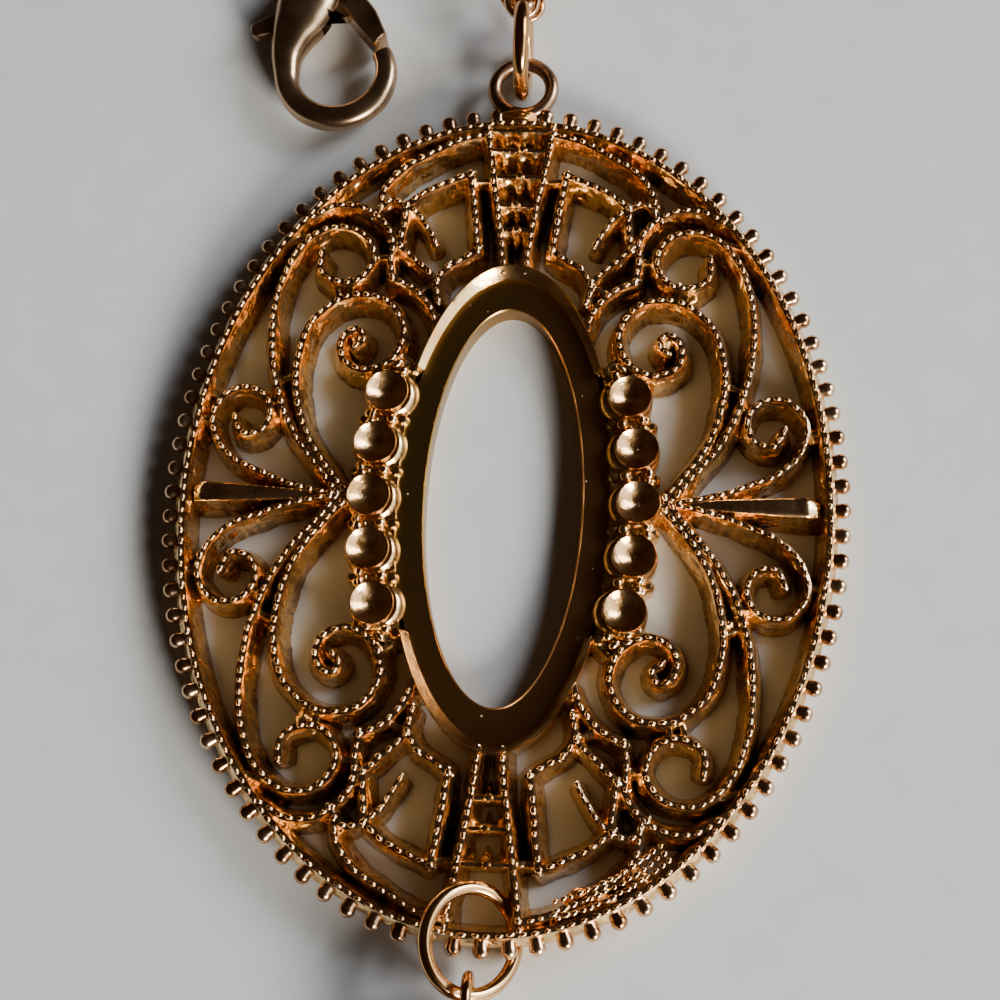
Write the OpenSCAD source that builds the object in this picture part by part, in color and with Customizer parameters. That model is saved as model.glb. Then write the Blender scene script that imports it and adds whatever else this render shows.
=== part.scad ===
// Tassel necklace: a large pierced oval medallion on a fine chain, with a lobster clasp and a chain tassel.
// Everything lies on a table at z = 0. The plan is worked in the medallion's own coordinates,
// with its centre at [0, 0] and its bail along +Y, and every module is then moved by `seat`.

/* [Medallion] */
// Half width of the rim at its line of beads
rim_a = 21.5; // [21.3:0.1:21.8]
// Half height of the rim at its line of beads
rim_b = 28; // [27.8:0.1:28.3]
// Height of the casting, up to the tops of its strips
cast_h = 2.6; // [2.4:0.1:2.8]
// Height of the wide foot of each strip
foot_h = 1.2; // [1:0.1:1.4]
// Half width of the narrow upper part of a strip
ridge_w = 0.36; // [0.3:0.02:0.4]
// Number of pegs round the rim, a multiple of four
peg_n = 92; // [84:4:96]
// Diameter of a peg
peg_d = 1.14; // [1:0.02:1.16]

/* [Bezel] */
// Half width of the bezel's outer wall
bezel_a = 7.35; // [7.2:0.05:7.5]
// Half height of the bezel's outer wall
bezel_b = 16.7; // [16.5:0.1:16.9]
// Thickness of the bezel's wall
bezel_wall = 0.4; // [0.35:0.05:0.5]
// Half width of the hole in the ledge
hole_a = 5.25; // [5:0.05:5.5]
// Half height of the hole in the ledge
hole_b = 13.8; // [13.4:0.1:14]
// Height of the ledge
ledge_h = 1.7; // [1.5:0.1:1.8]
// Height of the side spikes
spike_h = 2.4; // [2:0.1:2.5]
// Diameter of a cup
cup_d = 2.9; // [2.7:0.05:3]
// Depth of a cup's dish
cup_deep = 0.6; // [0.4:0.1:0.8]

/* [Rings] */
// Wire of the cast bail
bail_wire = 1; // [0.96:0.02:1.04]
// Radius of the bail to the middle of its wire
bail_r = 2.05; // [2:0.05:2.1]
// Wire of the top jump ring
top_wire = 1.1; // [1:0.05:1.15]
// Radius of the jump rings to the middle of their wire
jump_r = 3.15; // [3.1:0.05:3.2]
// Wire of the bottom jump ring
low_wire = 0.9; // [0.8:0.05:0.95]
// Gap cut in the top jump ring, in degrees
jump_cut = 16; // [8:1:24]

/* [Clasp] */
// Outer radius of the clasp's hook
hook_r = 4.5; // [4.4:0.1:4.6]
// Width of the hook's band
hook_band = 1.7; // [1.6:0.05:1.8]
// Thickness of the clasp's body
clasp_h = 3.2; // [3.2:0.1:3.4]
// Thickness of the lever's inner tongue
tongue_h = 0.8; // [0.7:0.05:0.9]
// Diameter of the lever's rivet
rivet_d = 1; // [0.9:0.05:1.1]

/* [Chain] */
// Width of the chain over its links
chain_w = 2.6; // [2.5:0.1:2.7]
// Wire of the chain's links
link_wire = 0.5; // [0.45:0.05:0.55]

/* [Tassel] */
// Length of the tassel's strands below its cap
strand_l = 62; // [50:1:70]
// Half width of the tassel at the strands' ends
spread = 9; // [8:0.5:10]
// Number of locks that the strands fall into
locks = 9; // [9:2:11]
// Radius of the tassel's cap at its mouth
cap_r = 3.4; // [3.2:0.1:3.6]
// Length of the tassel's cap
cap_l = 8; // [7:0.5:9]

/* [Hidden] */
$fn = 48;
gold = "#B0722F";
bronze = "#6B4A35";

// One quarter of the openwork, at x > 0 and y > 0, charted by hand in millimetres.
// Columns: half width of the foot at the start, the same at the end, and the middle line's points.
STRIPS = [
    // ladder post beside the middle line
    [0.5, 0.5, [[2.3, 27.6], [2.05, 25.4], [1.7, 23.2], [1.3, 21], [1, 18.8], [0.75, 16.2]]],
    // second post of the fan and the foot that runs down to the bezel
    [0.5, 0.5, [[3.4, 23.9], [3.1, 22], [2.85, 20], [2.6, 18.1], [3.6, 17.4], [4.6, 16.8], [5.3, 15.8],
        [5.1, 14]]],
    // arc that closes the fan at the top
    [0.5, 0.5, [[3.4, 23.9], [5, 23.2], [6.6, 22.4], [7.8, 21.4]]],
    // free strut with a round end
    [0.5, 0.42, [[7.8, 21.4], [6.9, 20.7], [6.3, 19.8], [5.6, 18.6]]],
    // third post of the fan and its foot
    [0.5, 0.45, [[7.8, 21.4], [7.85, 20], [8.05, 18.3], [6.9, 17.2], [6.1, 16.5], [5.4, 15.8]]],
    // hook from the fan's corner to the outer arc
    [0.45, 0.5, [[7.8, 21.4], [8.8, 21.8], [9.6, 21.2], [10, 20.6]]],
    // arc beside the rim
    [0.5, 0.5, [[2.3, 27.1], [4.2, 26.6], [6.3, 25.5], [8.2, 24.2], [9.4, 22.7], [9.6, 21.2]]],
    // tail from the bezel up to the outer arc, which runs over to the rim
    [0.5, 0.6, [[5.1, 12.3], [5.6, 13.5], [6.6, 14.8], [8.4, 15.9], [8.6, 17.2], [8.6, 18.8], [9.4, 20.2],
        [11, 21.2], [12.8, 21.3], [14.4, 20.4]]],
    // long outer scroll, from the side junction to the end of its curl
    [0.6, 0.42, [[10.7, -0.4], [12.3, 1.7], [13.9, 3.6], [15.3, 6.2], [16.2, 9.2], [16.5, 12.5], [16.1, 15.5],
        [14.9, 18.2], [12.9, 19.6], [10.8, 19.2], [9.8, 17.4], [10.6, 15.8], [12.4, 15.5], [13.5, 16.3],
        [13.5, 17.6]]],
    // inner scroll, from the side junction to its eye
    [0.6, 0.36, [[10.2, 0], [11.5, 1.4], [13.1, 3.6], [14.3, 6.6], [14.5, 10], [13.3, 13.1], [11, 14.5],
        [8.6, 14], [7.35, 11.6], [8.3, 9.6], [10.2, 9], [11.5, 9.9], [11.5, 11.4], [10.6, 12], [10.1, 11.2],
        [10.6, 10.7]]],
    // side scroll, which leaves along the spike and curls beside the rim
    [0.45, 0.36, [[11.6, 0.1], [13.5, 0.5], [16, 1.35], [18.4, 2.5], [19.8, 4.2], [19.9, 6], [18.7, 7.4],
        [16.9, 7.2], [16.05, 5.8], [16.7, 4.4], [17.9, 4.2], [18.5, 5.3]]]
];
// Short bars between strips. Columns: start, end.
TIES = [
    [[1.9, 23.5], [3.3, 23.6]], [[7.9, 18.7], [8.7, 18.7]], [[8.7, 17.5], [9.8, 17.5]],
    [[11.2, 14.4], [11.4, 15.7]], [[12, 14.2], [12.4, 15.5]],
    [[14.6, 8.6], [15.9, 8]], [[15.4, 6.6], [16.3, 6.8]], [[7.6, 10.5], [6.2, 9.2]], [[9.2, 9.2], [9.2, 8.2]],
    [[5.8, 15.4], [6.8, 14.9]], [[4.6, 13], [5.4, 13.2]],
    [[19.8, 5.2], [21.2, 5.4]], [[14.6, 19], [15.8, 18.6]]
];
// Cups on one side, counted from the middle. Columns: x, y.
CUPS = [[8.95, 0], [8.76, 3.68], [8.2, 7.36]];
// Small prongs between the cups, on the bezel. Columns: x, y.
PRONGS = [[7.2, 1.8], [6.9, 5.35], [6.2, 8.7]];
prong_d = 0.84;
// Section of the sloping block between each cup and the stone's seat, and its length. Columns: x, height.
CLAW = [[6.8, 1.6], [6.8, 1.95], [7.35, 2.68], [7.8, 2.72], [7.8, 1.6]];
claw_l = 1.6;
// Places along Y of the bars across the ladder. The bottom jump ring passes where the last would be.
BARS = [25.8, 23.7, 21.5, 19.6];
// Half width of the ladder at the bezel, and its growth for each millimetre beyond
ladder_w = 0.8;
ladder_flare = 0.138;
ladder_y = 16.4;

// Route of the left half of the chain, from the top jump ring round to the clasp, and of the right half
// mirrored in x. It comes down from the jump ring and then lies on the table.
// Columns: x, y, height above the table.
LOBE = [[-1.5, 38.2, 3], [-2.4, 41, 1.2], [-3, 45, 0], [-4, 55, 0], [-5, 75, 0], [-5, 95, 0], [-6, 115, 0],
    [-8, 135, 0], [-15, 153, 0], [-30, 164, 0], [-48, 162, 0], [-60, 148, 0], [-64, 128, 0], [-62, 108, 0],
    [-55, 88, 0], [-44, 71, 0], [-30, 57.5, 0], [-17.2, 47.3, 0]];

// Places in the plan. Columns: x, y, height.
bail_at = [0, 31, 1.75];
top_ring_at = [0, 33.1, jump_r + top_wire / 2];
low_ring_at = [-0.58, -28.32, 2.35];
low_ring_turn = 33;
first_link_r = 1.05;
clasp_at = [-13.7, 32.2, clasp_h / 2];
clasp_turn = 12.7;
end_ring_at = [14.8, 45.4, 0.45];
loop_at = [-0.6, -31.97, 2.7];
loop_r = 1.6;
loop_wire = 0.7;
cap_top = -33.4;
strand_y0 = cap_top - cap_l - 1;
strand_front = strand_y0 - strand_l;
relief_h = 1.45;

// Radius of a lock at its two ends, and the length of the bundle that they grow from
lock_start = 1.3;
lock_end = 1.1;
head_l = 6;

// The clasp's own plan, with the hook's centre at [0, 0] and its tail along +Y
hook_mid = hook_r - hook_band / 2;
hook_tip = 15;
rivet_at = [0.4, 6.4];
seam_r = 1.55;
gate_r = 5.8;
tail_y = 10.8;
slot_gap = 0.07;
crown_x = -0.9;
crown_drop = 2.6;

// Curve functions
function lerp(a, b, t) = a + (b - a) * t;
function spline(p0, p1, p2, p3, t) = 0.5 * (2 * p1 + (p2 - p0) * t
    + (2 * p0 - 5 * p1 + 4 * p2 - p3) * t * t + (3 * p1 - p0 - 3 * p2 + p3) * t * t * t);
function smooth(p, steps) = let (m = len(p) - 1) concat(
    [for (i = [0:m - 1], k = [0:steps - 1])
        spline(p[max(i - 1, 0)], p[i], p[i + 1], p[min(i + 2, m)], k / steps)], [p[m]]);
function unit(v) = v / norm(v);
function heading(p, i) = unit(p[min(i + 1, len(p) - 1)] - p[max(i - 1, 0)]);
function side(p, i) = let (h = heading(p, i)) [-h[1], h[0]];
function oval(a, b, n) = [for (i = [0:n - 1]) let (t = 360 * (i + 0.5) / n) [a * cos(t), b * sin(t)]];

// Flat band of changing width along a line of points
module band(line, w0, w1) {
    m = len(line) - 1;
    polygon(concat(
        [for (i = [0:m]) line[i] + side(line, i) * lerp(w0, w1, i / m)],
        [for (i = [m:-1:0]) line[i] - side(line, i) * lerp(w0, w1, i / m)]));
}

module quarters() {
    for (x = [0, 1], y = [0, 1]) mirror([x, 0]) mirror([0, y]) children();
}

module ring_band(a, b, half, n) {
    difference() {
        polygon(oval(a + half, b + half, n));
        polygon(oval(a - half, b - half, n));
    }
}

// Swept tube with rings of eight corners along a route in space, resting on its lowest corners
module tube(route, r) {
    n = 8;
    m = len(route) - 1;
    rings = [for (i = [0:m]) let (h = heading(route, i), a = unit([-h[1], h[0], 0]), b = cross(h, a))
        for (k = [0:n - 1]) route[i] + [0, 0, r] + (a * cos(360 * k / n) + b * sin(360 * k / n)) * r];
    walls = [for (i = [0:m - 1], k = [0:n - 1])
        let (a = i * n + k, b = i * n + (k + 1) % n) [a, a + n, b + n, b]];
    polyhedron(rings, concat(walls, [[for (k = [0:n - 1]) k]], [[for (k = [n - 1:-1:0]) m * n + k]]));
}

function left_run() = [for (p = smooth(LOBE, 2)) [p[0], p[1], max(p[2], 0)]];
function right_run() = [for (p = left_run()) [-p[0], p[1], p[2]]];

// Moves the plan so that the middle of the whole necklace's box stands at [0, 0]
lobe_back = max([for (p = left_run()) p[1]]) + chain_w / 2;
seat = [0, -(lobe_back + strand_front) / 2, 0];

module wire_ring(r, wire) {
    rotate_extrude() translate([r, 0]) circle(d = wire, $fn = 24);
}

// Bars across the ladder, each from `near` on its inner side to `far` on its outer side
module bars(near, far) {
    for (k = [0:3], s = k > 0 ? [0, 1] : [0]) let (w = ladder_w + (BARS[k] - ladder_y) * ladder_flare)
        mirror([0, s]) translate([-w, BARS[k] - near]) square([2 * w, near + far]);
}

module foot_plan() {
    ring_band(rim_a, rim_b, 0.65, peg_n);
    bars(0.8, 0.3);
    quarters() {
        for (s = STRIPS) band(s[2], s[0], s[1]);
        for (t = TIES) band(t, 0.42, 0.42);
    }
    for (s = [-1, 1]) polygon([[s * 11.2, -0.3], [s * 21.3, -1.1], [s * 21.3, 1.1], [s * 11.2, 0.3]]);
    for (s = [-1, 1])
        band([for (i = [-2:2]) [s * (CUPS[abs(i)][0] - 0.3), sign(i) * CUPS[abs(i)][1]]], 1.1, 1.1);
    ring_band(bezel_a - bezel_wall / 2, bezel_b - bezel_wall / 2, bezel_wall / 2, 48);
}

module ridge_plan() {
    ring_band(rim_a, rim_b, 0.42, peg_n);
    quarters() for (s = STRIPS) band(s[2], ridge_w, min(ridge_w, s[1]));
    bars(0.22, 0.22);
    ring_band(bezel_a - bezel_wall / 2, bezel_b - bezel_wall / 2, bezel_wall / 2, 48);
}

module spike_plan() {
    for (s = [-1, 1]) polygon([[s * 11.5, -0.2], [s * 20.2, -0.7], [s * 20.75, -0.46], [s * 20.75, 0.46],
        [s * 20.2, 0.7], [s * 11.5, 0.2]]);
}

module medallion() {
    color(gold) translate(seat) {
        difference() {
            union() {
                linear_extrude(foot_h) foot_plan();
                translate([0, 0, foot_h / 2]) linear_extrude(cast_h - foot_h / 2) ridge_plan();
                translate([0, 0, foot_h / 2]) linear_extrude(spike_h - foot_h / 2) spike_plan();
            }
            // relief under the lower end, where the bottom jump ring passes
            translate([-3.3, -30, -1]) cube([6.6, 5, 1 + relief_h]);
        }
        ledge();
        cups();
        prongs();
        claws();
        pegs();
        translate(bail_at) wire_ring(bail_r, bail_wire);
    }
}

module ledge() {
    linear_extrude(ledge_h) difference() {
        polygon(oval(bezel_a - bezel_wall / 2, bezel_b - bezel_wall / 2, 48));
        polygon(oval(hole_a, hole_b, 48));
    }
}

module cups() {
    cup_top = cast_h + 0.15;
    dish_r = (pow(cup_d / 2 - 0.2, 2) + cup_deep * cup_deep) / (2 * cup_deep);
    for (s = [-1, 1], i = [-2:2]) translate([s * CUPS[abs(i)][0], sign(i) * CUPS[abs(i)][1], 0]) difference() {
        cylinder(d = cup_d, h = cup_top);
        translate([0, 0, cup_top + dish_r - cup_deep]) sphere(dish_r);
    }
}

module prongs() {
    for (x = [-1, 1], y = [-1, 1], p = PRONGS)
        translate([x * p[0], y * p[1], 0]) cylinder(d = prong_d, h = cast_h + 0.1);
}

module claws() {
    for (s = [0, 1], i = [-2:2]) mirror([s, 0, 0])
        translate([CUPS[abs(i)][0] - CUPS[0][0], sign(i) * CUPS[abs(i)][1] + claw_l / 2, 0])
            rotate([90, 0, 0]) linear_extrude(claw_l) polygon(CLAW);
}

// Pegs at equal steps along the rim, which the angle's correction makes equal
module pegs() {
    even = 90 / PI * (rim_b - rim_a) / (rim_a + rim_b);
    for (i = [0:peg_n - 1]) let (a = 360 * i / peg_n, t = a - even * sin(2 * a),
        turn = atan2(rim_a * sin(t), rim_b * cos(t)))
        translate([rim_a * cos(t), rim_b * sin(t), 1.75]) rotate([0, 90, turn]) {
            cylinder(d = peg_d, h = 1);
            translate([0, 0, 1]) cylinder(d1 = peg_d, d2 = peg_d * 0.55, h = 0.4);
        }
}

// Stands on the table through the bail, with its cut near the top on the right
module top_jump_ring() {
    color(gold) translate(seat) translate(top_ring_at) rotate([90, 0, 90]) rotate([0, 0, 60])
        rotate_extrude(angle = 360 - jump_cut) translate([jump_r, 0]) circle(d = top_wire, $fn = 24);
}

// Leans over the left of the rim and under its right
module bottom_jump_ring() {
    color(gold) translate(seat) translate(low_ring_at) rotate([0, low_ring_turn, 0])
        wire_ring(jump_r + 0.05, low_wire);
}

// The first link on each side goes round the top jump ring's wire, square to it.
module first_link(x, tilt) {
    color(gold) translate(seat) translate(top_ring_at) rotate([tilt, 0, 0])
        translate([x, jump_r + 0.1, 0]) wire_ring(first_link_r, link_wire);
}

module left_link() {
    first_link(-0.15, 24);
}

module right_link() {
    first_link(0.15, 5);
}

module chain_left() {
    color(gold) translate(seat) tube(left_run(), chain_w / 2);
}

module chain_right() {
    color(gold) translate(seat) tube(right_run(), chain_w / 2);
}

// Moves the clasp's own plan to its place
module at_clasp() {
    translate(seat) translate(clasp_at) rotate(clasp_turn) children();
}

function arc(c, r, a0, a1, n) = [for (i = [0:n]) let (t = lerp(a0, a1, i / n)) c + r * [cos(t), sin(t)]];

// Outline of the body: up the left side, round the tail, and back along the seam round the rivet
function body_outline() = concat(
    [[-2.8, -0.2], [-4.5, -0.2], [-4.45, 2], [-4.2, 4], [-3.6, 6], [-2.6, 8], [-1.2, 9.6], [1.2, 9.6],
        [1.9, 8.2]],
    arc(rivet_at, seam_r, 25, -90, 8),
    [[-0.4, 3.4], [-1.8, 2.4], [-2.6, 1.2]]);

// Long round bar whose side gives the body its crowned back and front
module crown() {
    rotate([-90, 0, 0]) cylinder(r = crown_drop + clasp_h / 2, h = 12);
}

module clasp_body() {
    color(bronze) at_clasp() {
        difference() {
            union() {
                intersection() {
                    translate([0, 0, -clasp_h / 2]) linear_extrude(clasp_h) polygon(body_outline());
                    translate([crown_x, -1, -crown_drop]) crown();
                    translate([crown_x, -1, crown_drop]) crown();
                }
                rotate([0, 0, 180]) rotate_extrude(angle = 180 + hook_tip)
                    translate([hook_mid, 0]) circle(d = hook_band, $fn = 24);
                translate([-1.2, 9, -0.5]) cube([2.4, 1, 1]);
                translate([0, tail_y, -0.4]) cylinder(r = 1.6, h = 0.8);
            }
            // slot for the lever
            translate([-6, 3.6, -tongue_h / 2 - slot_gap]) cube([9, 4.7, tongue_h + 2 * slot_gap]);
            translate([0, tail_y, -2]) cylinder(r = 0.9, h = 4);
        }
        translate([rivet_at[0], rivet_at[1], -clasp_h / 2 + 0.3]) cylinder(d = rivet_d, h = clasp_h - 0.6);
    }
}

// Thin tongue in the body's slot, with the thumb tab on the left and the thick gate on the right
module clasp_lever() {
    color(bronze) at_clasp() difference() {
        union() {
            translate([0, 0, -tongue_h / 2]) linear_extrude(tongue_h) {
                translate(rivet_at) circle(r = 1.1);
                polygon([[0.4, 7.4], [-3, 6], [-5.1, 5.3], [-5.1, 4.1], [-3, 4.2], [0.4, 5.3]]);
                translate([-5.1, 4.7]) circle(r = 0.6);
                polygon([[0.4, 5.4], [1.4, 4.2], [3.1, 4.2], [2.4, 6.4], [1.2, 6.9]]);
            }
            translate([0, 0, -1]) linear_extrude(2) polygon(concat(
                arc(rivet_at, seam_r + 0.12, -58, 8, 6), [[2.9, 5.8], [3.7, 4.1]],
                arc(rivet_at, gate_r, -50, -62, 3), [[2.2, 3.1]]));
        }
        translate([rivet_at[0], rivet_at[1], -2]) cylinder(d = rivet_d + 0.06, h = 4);
    }
}

// Passes through the clasp's tail at a slant, over one side and under the other
module clasp_ring() {
    color(gold) at_clasp() translate([0, tail_y + 1.85, 0]) rotate([0, 45, 0]) wire_ring(1.8, 0.6);
}

// Lies flat at the other end of the chain, for the clasp's hook
module end_ring() {
    color(gold) translate(seat) translate(end_ring_at) wire_ring(2.3, 0.9);
}

// Turns a shape along +Z so that it lies on the table, pointing along -Y
module lying(y) {
    translate(seat) translate([loop_at[0], y, cap_r]) rotate([90, 0, 0]) children();
}

module tassel_cap() {
    color(gold) {
        translate(seat) translate(loop_at) rotate([0, 90, 0]) wire_ring(loop_r, loop_wire);
        lying(cap_top) rotate_extrude() difference() {
            polygon([[0, 0], [1.1, 0], [1.3, 1], [2.1, 2.2], [2.9, 4], [cap_r, cap_l], [0, cap_l]]);
            polygon([[0, cap_l - 3.6], [cap_r - 0.9, cap_l - 3.6], [cap_r - 0.5, cap_l + 1], [0, cap_l + 1]]);
        }
    }
}

// Middle line of lock i at a share t of its length: it fans out sideways and settles on the table.
function lock_point(i, t) = let (u = 2 * i / (locks - 1) - 1) [
    loop_at[0] + u * lerp(cap_r - 1.5, spread - lock_end, t),
    strand_y0 - 0.5 - t * (strand_l - 0.5 - lock_end * cos(22.5) - 2.5 * u * u),
    lerp(cap_r, lock_r(t) * cos(22.5), min(1, 4 * t)) + sin(180 * t) * (0.1 + 0.15 * (i % 2))];
function lock_r(t) = lerp(lock_start, lock_end, t);

module tassel_strands() {
    steps = 6;
    color(gold) translate(seat) {
        for (i = [0:locks - 1], k = [0:steps - 1]) hull() for (t = [k / steps, (k + 1) / steps])
            translate(lock_point(i, t)) sphere(r = lock_r(t), $fn = 8);
        translate([loop_at[0], cap_top - cap_l + 3.2, cap_r]) rotate([90, 0, 0])
            cylinder(r1 = cap_r - 1.1, r2 = cap_r - 0.75, h = head_l, $fn = 24);
    }
}

medallion();
top_jump_ring();
bottom_jump_ring();
left_link();
right_link();
chain_left();
chain_right();
clasp_body();
clasp_lever();
clasp_ring();
end_ring();
tassel_cap();
tassel_strands();
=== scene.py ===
"""Tassel necklace: a cast openwork medallion on a cable chain, with a lobster clasp and a chain tassel.

Plan places are in millimetres in the medallion's own coordinates, with its centre at the origin and its
bail along +Y, as in the CAD source. A piece is made in metres, with the seat added that the source adds.
"""
import math

import bmesh
import bpy
import numpy as np
from mathutils import Matrix


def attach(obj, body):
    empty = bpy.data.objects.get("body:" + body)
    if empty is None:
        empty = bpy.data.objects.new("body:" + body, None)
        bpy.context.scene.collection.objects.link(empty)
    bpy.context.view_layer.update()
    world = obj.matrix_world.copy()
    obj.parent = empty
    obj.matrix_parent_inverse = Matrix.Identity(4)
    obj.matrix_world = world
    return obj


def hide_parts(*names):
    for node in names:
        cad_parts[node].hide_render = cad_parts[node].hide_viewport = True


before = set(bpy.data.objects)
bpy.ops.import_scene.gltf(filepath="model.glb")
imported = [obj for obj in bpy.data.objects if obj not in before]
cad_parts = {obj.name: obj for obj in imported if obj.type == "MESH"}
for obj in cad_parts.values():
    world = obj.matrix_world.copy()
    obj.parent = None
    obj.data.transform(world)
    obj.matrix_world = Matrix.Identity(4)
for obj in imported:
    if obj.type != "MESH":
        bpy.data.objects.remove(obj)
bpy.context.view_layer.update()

MM = 0.001
# The medallion's centre in the frame, in millimetres
SEAT = np.array([0.0, -30.73125, 0.0])
UP = np.array([0.0, 0.0, 1.0])


# Camera
# Focal length and side of the photograph in its own pixels
FOCAL, PHOTO_SIDE = 1636.17, 1000
# The camera's place over the medallion, and its sensor's side, in millimetres
CAMERA_AT = np.array([7.596, -31.148, 105.75])
SENSOR = 36.0


def show(name, data):
    """New object of the data, in the scene."""
    obj = bpy.data.objects.new(name, data)
    bpy.context.scene.collection.objects.link(obj)
    return obj


def stand(obj, right, up, place):
    """Puts a camera or a light at a place in metres, by its own right and up directions."""
    rows = np.eye(4)
    rows[:3, 0], rows[:3, 1], rows[:3, 2], rows[:3, 3] = right, up, np.cross(right, up), place
    obj.matrix_world = Matrix(rows.tolist())


def photo_camera():
    """Camera of the photograph: it looks down on the medallion from below and a little to the right of it,
    17 degrees off the vertical."""
    data = bpy.data.cameras.new("photo_camera")
    data.sensor_width = SENSOR
    data.sensor_height = SENSOR
    data.lens = FOCAL / PHOTO_SIDE * SENSOR
    data.clip_start = 0.005
    cam = show("photo_camera", data)
    right = np.array([0.99702, 0.04796, -0.06037])
    up = np.array([-0.02848, 0.95670, 0.28967])
    stand(cam, right, up, (CAMERA_AT + SEAT) * MM)
    bpy.context.scene.camera = cam


photo_camera()


# Colours and materials
def linear(code):
    """sRGB hex colour as linear numbers."""
    c = np.array([int(code[i:i + 2], 16) / 255 for i in (1, 3, 5)])
    c = np.where(c <= 0.04045, c / 12.92, ((c + 0.055) / 1.055) ** 2.4)
    return (*c.tolist(), 1.0)


def add(tree, kind, settings=None, **links):
    """Adds a shader node, sets its properties and inputs, and links its inputs from an output of another
    node, or from a node's first output. An input is named by its name, or by its number after an i."""
    node = tree.nodes.new("ShaderNode" + kind)
    for key, value in (settings or {}).items():
        if isinstance(key, str) and hasattr(node, key):
            setattr(node, key, value)
        else:
            node.inputs[key].default_value = value
    for key, source in links.items():
        numbered = key[0] == "i" and key[1:].isdigit()
        socket = node.inputs[int(key[1:])] if numbered else node.inputs[key.replace("_", " ")]
        tree.links.new(getattr(source, "outputs", [source])[0], socket)
    return node


def start(name):
    """Empty material, its tree, and the Object coordinates that its patterns read."""
    mat = bpy.data.materials.new(name)
    mat.use_nodes = True
    mat.node_tree.nodes.clear()
    return mat, mat.node_tree, add(mat.node_tree, "TexCoord").outputs["Object"]


def plated_casting(name, bright, deep, stain_and_shade, rough, marks_deep, skin_deep):
    """Gold-plated zinc casting: paler, glossier plating on the polished tops, and yellower plating low down
    in the openwork, where polishing doesn't reach. The walls are tarnished brown in soft patches and upright
    streaks, and the same brown is painted shade towards the foot of each wall, beside the table. marks_deep
    and skin_deep are depths, and all lengths are in metres."""
    mat, tree, coord = start(name)
    z = add(tree, "SeparateXYZ", i0=coord).outputs["Z"]
    height = add(tree, "MapRange", {"From Min": 0.0018, "From Max": 0.0027}, Value=z)
    # polish comes and goes in patches 1.5 mm across
    blot = add(tree, "TexNoise", {"Scale": 650.0, "Detail": 3.0}, Vector=coord)
    share = add(tree, "Math", {"operation": "MULTIPLY_ADD", 1: 1.2, 2: -0.55}, i0=blot)
    polish = add(tree, "Math", {"operation": "ADD", "use_clamp": True}, i0=height, i1=share)
    plating = add(tree, "Mix", {"data_type": "RGBA", 6: linear(deep), 7: linear(bright)}, i0=polish)
    # upright marks 0.36 mm wide and 2.4 mm long, and lumps 1.3 mm across, as casting leaves them
    marks = add(tree, "Mapping", {"Scale": (1.0, 1.0, 0.15)}, Vector=coord)
    wax = add(tree, "TexNoise", {"Scale": 2800.0, "Detail": 2.0}, Vector=marks)
    skin = add(tree, "TexNoise", {"Scale": 750.0, "Detail": 2.0, "Roughness": 0.4}, Vector=coord)
    # polishing leaves a tenth of their depth on the tops
    raw = add(tree, "MapRange", {"From Min": 0.0019, "From Max": 0.0023, "To Min": 1.0, "To Max": 0.1},
              Value=z)
    bump_a = add(tree, "Bump", {"Distance": marks_deep}, Height=wax, Strength=raw)
    bump_b = add(tree, "Bump", {"Distance": skin_deep}, Height=skin, Strength=raw, Normal=bump_a)
    # brown fades in over the deeper half of the marks and lumps as tarnished patches,
    # and towards the foot as painted shade
    low = add(tree, "Math", {"operation": "ADD"}, i0=wax, i1=skin)
    deeper = add(tree, "MapRange", {"From Min": 1.06, "From Max": 0.82, "To Min": 0.0, "To Max": 0.45},
                 Value=low)
    # painted shade: the walls darken from 1.3 mm high down to 0.2 mm, next to the table
    foot = add(tree, "MapRange", {"From Min": 0.0013, "From Max": 0.0002, "To Min": 0.0, "To Max": 0.4},
               Value=z)
    tarnish_and_shade = add(tree, "Math", {"operation": "ADD", "use_clamp": True}, i0=deeper, i1=foot)
    colour = add(tree, "Mix", {"data_type": "RGBA", 7: linear(stain_and_shade)}, i0=tarnish_and_shade, i6=plating.outputs[2])
    gloss = add(tree, "MapRange", {"To Min": rough * 1.25, "To Max": rough * 0.8}, Value=polish)
    metal = add(tree, "BsdfPrincipled", {"Metallic": 1.0}, Base_Color=colour.outputs[2], Roughness=gloss,
                Normal=bump_b)
    add(tree, "OutputMaterial", Surface=metal)
    return mat


def wire_metal(name, bright, deep, rough, patches, ripple):
    """Drawn or cast metal polished all over: two close colours in soft patches, as many to the metre as
    patches says, and a ripple in the surface, 0.7 mm from crest to crest and ripple metres deep."""
    mat, tree, coord = start(name)
    blot = add(tree, "TexNoise", {"Scale": patches, "Detail": 4.0}, Vector=coord)
    ramp = add(tree, "MapRange", {"From Min": 0.35, "From Max": 0.65}, Value=blot)
    colour = add(tree, "Mix", {"data_type": "RGBA", 6: linear(deep), 7: linear(bright)}, i0=ramp)
    skin = add(tree, "TexNoise", {"Scale": 1500.0, "Detail": 3.0}, Vector=coord)
    bump = add(tree, "Bump", {"Strength": 1.0, "Distance": ripple}, Height=skin)
    gloss = add(tree, "MapRange", {"To Min": rough * 0.7, "To Max": rough * 1.35}, Value=blot)
    metal = add(tree, "BsdfPrincipled", {"Metallic": 1.0}, Base_Color=colour.outputs[2], Roughness=gloss,
                Normal=bump)
    add(tree, "OutputMaterial", Surface=metal)
    return mat


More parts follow.
